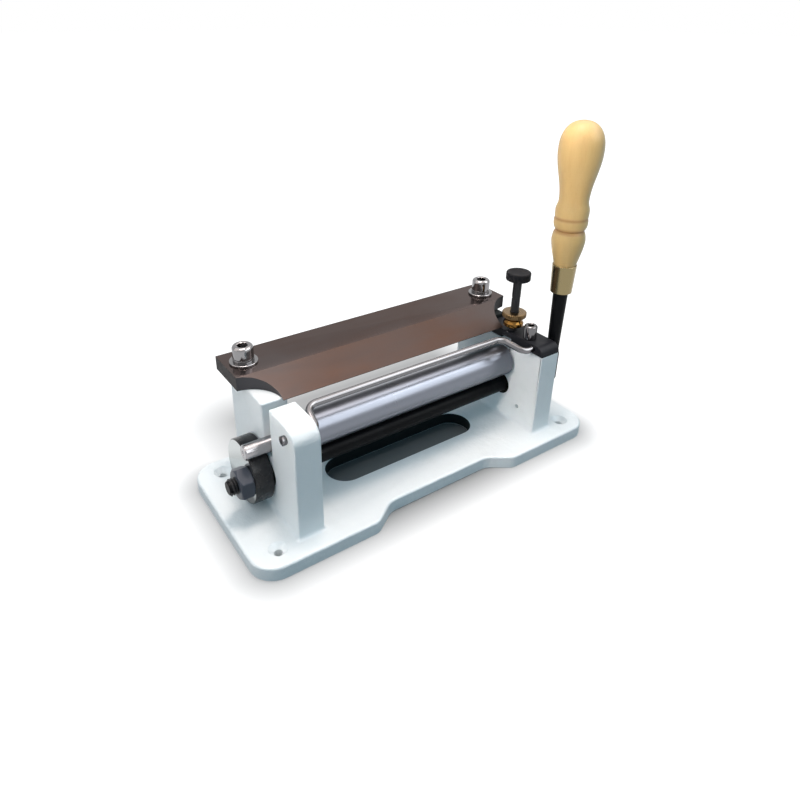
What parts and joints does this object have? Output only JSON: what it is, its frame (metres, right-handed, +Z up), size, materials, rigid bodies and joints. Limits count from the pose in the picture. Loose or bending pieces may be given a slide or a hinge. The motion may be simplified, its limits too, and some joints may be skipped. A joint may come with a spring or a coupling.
{
  "type": "leather skiving machine",
  "caption": "Hand-operated leather skiving machine: a bevelled blade fixed over a roller that cams lift when the wooden handle is pulled, on a cast base with a slot.",
  "frame": {"origin": "middle of the base plate's underside", "axes": "+X to the right along the roller, towards the handle; -Y to the front, the side with the roller and the notch; +Z up"},
  "size_m": [0.255, 0.1046, 0.2144],
  "materials": {
    "enamel": "semi-gloss white enamel on cast metal",
    "blade_steel": "ground tool steel, browned",
    "bright_steel": "polished",
    "roller_chrome": "satin chrome",
    "ground_steel": "ground",
    "black_steel": "satin black",
    "knob_black": "matt",
    "bronze": "turned bronze",
    "brass": "turned brass",
    "wood": "pale lacquered hardwood"
  },
  "bodies": {
    "frame": {"base_casting": "enamel", "blade": "blade_steel", "blade_screws": "bright_steel", "blade_washers": "bright_steel", "shaft_bushes": "bronze", "bridge_cap": "black_steel", "cap_screw": "bright_steel"},
    "lever": {"cam_shaft": "black_steel", "shaft_keys": "ground_steel", "left_cam": "black_steel", "left_nut": "black_steel", "lever_cam": "black_steel", "right_nut": "black_steel", "handle_rod": "black_steel", "ferrule": "brass", "grip": "wood"},
    "axle": {"roller_axle": "ground_steel"},
    "roller": {"roller": "roller_chrome", "roller_bushes": "bronze"},
    "bail": {"stabiliser_bar": "bright_steel", "bar_screw": "bright_steel"},
    "adjuster": {"adjuster_stem": "black_steel"},
    "knob": {"adjuster_knob": "knob_black"},
    "locking": {"lock_nut": "brass"}
  },
  "joints": [
    {"name": "handle_swing", "type": "hinge", "parent": "frame", "child": "lever", "pos_m": [0, -0.006, 0.0332], "axis": [1, 0, 0], "range_deg": [0, 55]},
    {"name": "roller_lift", "type": "slide", "parent": "frame", "child": "axle", "axis": [0, 0, 1], "range_m": [0, 0.01144]},
    {"name": "roller_spin", "type": "hinge", "parent": "axle", "child": "roller", "pos_m": [0, -0.0068, 0.05329], "axis": [1, 0, 0], "continuous": true},
    {"name": "bail_swing", "type": "hinge", "parent": "frame", "child": "bail", "pos_m": [0, -0.031, 0.0712], "axis": [1, 0, 0], "range_deg": [0, 100]},
    {"name": "screw_travel", "type": "slide", "parent": "frame", "child": "adjuster", "axis": [0, 0, 1], "range_m": [-0.01, 0]},
    {"name": "knob_turn", "type": "hinge", "parent": "adjuster", "child": "knob", "pos_m": [0.0879, -0.0068, 0.113], "axis": [0, 0, 1], "range_deg": [-3601, 0]},
    {"name": "lock_nut_turn", "type": "hinge", "parent": "frame", "child": "locking", "pos_m": [0.0879, -0.0068, 0.08], "axis": [0, 0, 1], "range_deg": [0, 90]}
  ],
  "couplings": [
    {"joint": "roller_lift", "follows": "handle_swing", "m_per_rad": 0.011911},
    {"joint": "knob_turn", "follows": "screw_travel", "rad_per_m": 6283.2}
  ]
}
